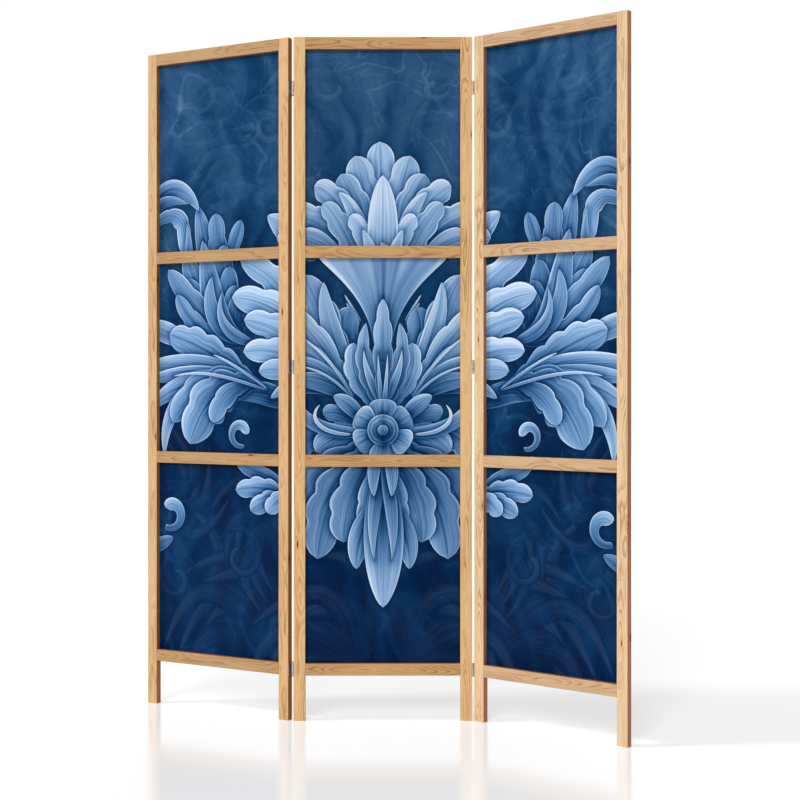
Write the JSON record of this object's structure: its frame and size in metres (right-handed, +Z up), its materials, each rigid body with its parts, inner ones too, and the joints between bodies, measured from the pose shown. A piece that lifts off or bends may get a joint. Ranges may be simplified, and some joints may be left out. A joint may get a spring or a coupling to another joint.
{
  "type": "partition wall",
  "caption": "Free-standing folding partition wall: panels of pine with a printed cloth infill, joined by two-way hinges so that each side panel folds flat.",
  "frame": {"origin": "middle of the footprint of the standing wall, on the floor, with the side panels folded as they stand at rest", "axes": "+Z up, +X to the right along the centre panel, +Y to the back, so the printed front of the centre panel faces -Y"},
  "size_m": [1.2038, 0.53, 1.71],
  "materials": {
    "pine_frame": "sanded pine, clear matte varnish",
    "pine_bead": "sanded pine strip",
    "beech_dowel": "turned beech, glued in",
    "printed_cloth": "matte non-woven cloth with a printed leaf ornament in pale blue on navy",
    "hinge_steel": "pressed sheet steel, nickel plated",
    "hinge_pin": "drawn wire with riveted ends",
    "hinge_screw": "zinc plated countersunk wood screw",
    "steel_brad": "bright wire"
  },
  "bodies": {
    "centre_panel": {"centre_panel_left_stile": "pine_frame", "centre_panel_right_stile": "pine_frame", "centre_panel_top_rail": "pine_frame", "centre_panel_upper_rail": "pine_frame", "centre_panel_lower_rail": "pine_frame", "centre_panel_bottom_rail": "pine_frame", "centre_panel_cloth": "printed_cloth", "centre_panel_side_beads": "pine_bead", "centre_panel_cross_beads": "pine_bead", "centre_panel_dowels": "beech_dowel", "centre_panel_brads": "steel_brad", "left_top_hinge_inner_leaf": "hinge_steel", "left_middle_hinge_inner_leaf": "hinge_steel", "left_bottom_hinge_inner_leaf": "hinge_steel", "left_hinge_inner_screws": "hinge_screw", "right_top_hinge_inner_leaf": "hinge_steel", "right_middle_hinge_inner_leaf": "hinge_steel", "right_bottom_hinge_inner_leaf": "hinge_steel", "right_hinge_inner_screws": "hinge_screw"},
    "left_link": {"left_top_hinge_link": "hinge_steel", "left_middle_hinge_link": "hinge_steel", "left_bottom_hinge_link": "hinge_steel", "left_hinge_front_pins": "hinge_pin", "left_hinge_back_pins": "hinge_pin"},
    "left_panel": {"left_panel_left_stile": "pine_frame", "left_panel_right_stile": "pine_frame", "left_panel_top_rail": "pine_frame", "left_panel_upper_rail": "pine_frame", "left_panel_lower_rail": "pine_frame", "left_panel_bottom_rail": "pine_frame", "left_panel_cloth": "printed_cloth", "left_panel_side_beads": "pine_bead", "left_panel_cross_beads": "pine_bead", "left_panel_dowels": "beech_dowel", "left_panel_brads": "steel_brad", "left_top_hinge_outer_leaf": "hinge_steel", "left_middle_hinge_outer_leaf": "hinge_steel", "left_bottom_hinge_outer_leaf": "hinge_steel", "left_hinge_outer_screws": "hinge_screw"},
    "right_link": {"right_top_hinge_link": "hinge_steel", "right_middle_hinge_link": "hinge_steel", "right_bottom_hinge_link": "hinge_steel", "right_hinge_front_pins": "hinge_pin", "right_hinge_back_pins": "hinge_pin"},
    "right_panel": {"right_panel_left_stile": "pine_frame", "right_panel_right_stile": "pine_frame", "right_panel_top_rail": "pine_frame", "right_panel_upper_rail": "pine_frame", "right_panel_lower_rail": "pine_frame", "right_panel_bottom_rail": "pine_frame", "right_panel_cloth": "printed_cloth", "right_panel_side_beads": "pine_bead", "right_panel_cross_beads": "pine_bead", "right_panel_dowels": "beech_dowel", "right_panel_brads": "steel_brad", "right_top_hinge_outer_leaf": "hinge_steel", "right_middle_hinge_outer_leaf": "hinge_steel", "right_bottom_hinge_outer_leaf": "hinge_steel", "right_hinge_outer_screws": "hinge_screw"}
  },
  "joints": [
    {"name": "left_front_pins", "type": "hinge", "parent": "centre_panel", "child": "left_link", "pos_m": [-0.20438, 0.02201, 0.885], "axis": [0, 0, 1], "range_deg": [0, 90]},
    {"name": "left_back_pins", "type": "hinge", "parent": "left_link", "child": "left_panel", "pos_m": [-0.20438, 0.04201, 0.885], "axis": [0, 0, 1], "range_deg": [-150, 30]},
    {"name": "right_front_pins", "type": "hinge", "parent": "centre_panel", "child": "right_link", "pos_m": [0.24662, 0.02201, 0.885], "axis": [0, 0, 1], "range_deg": [-140, 40]},
    {"name": "right_back_pins", "type": "hinge", "parent": "right_link", "child": "right_panel", "pos_m": [0.25948, 0.03733, 0.885], "axis": [0, 0, 1], "range_deg": [0, 90]}
  ]
}
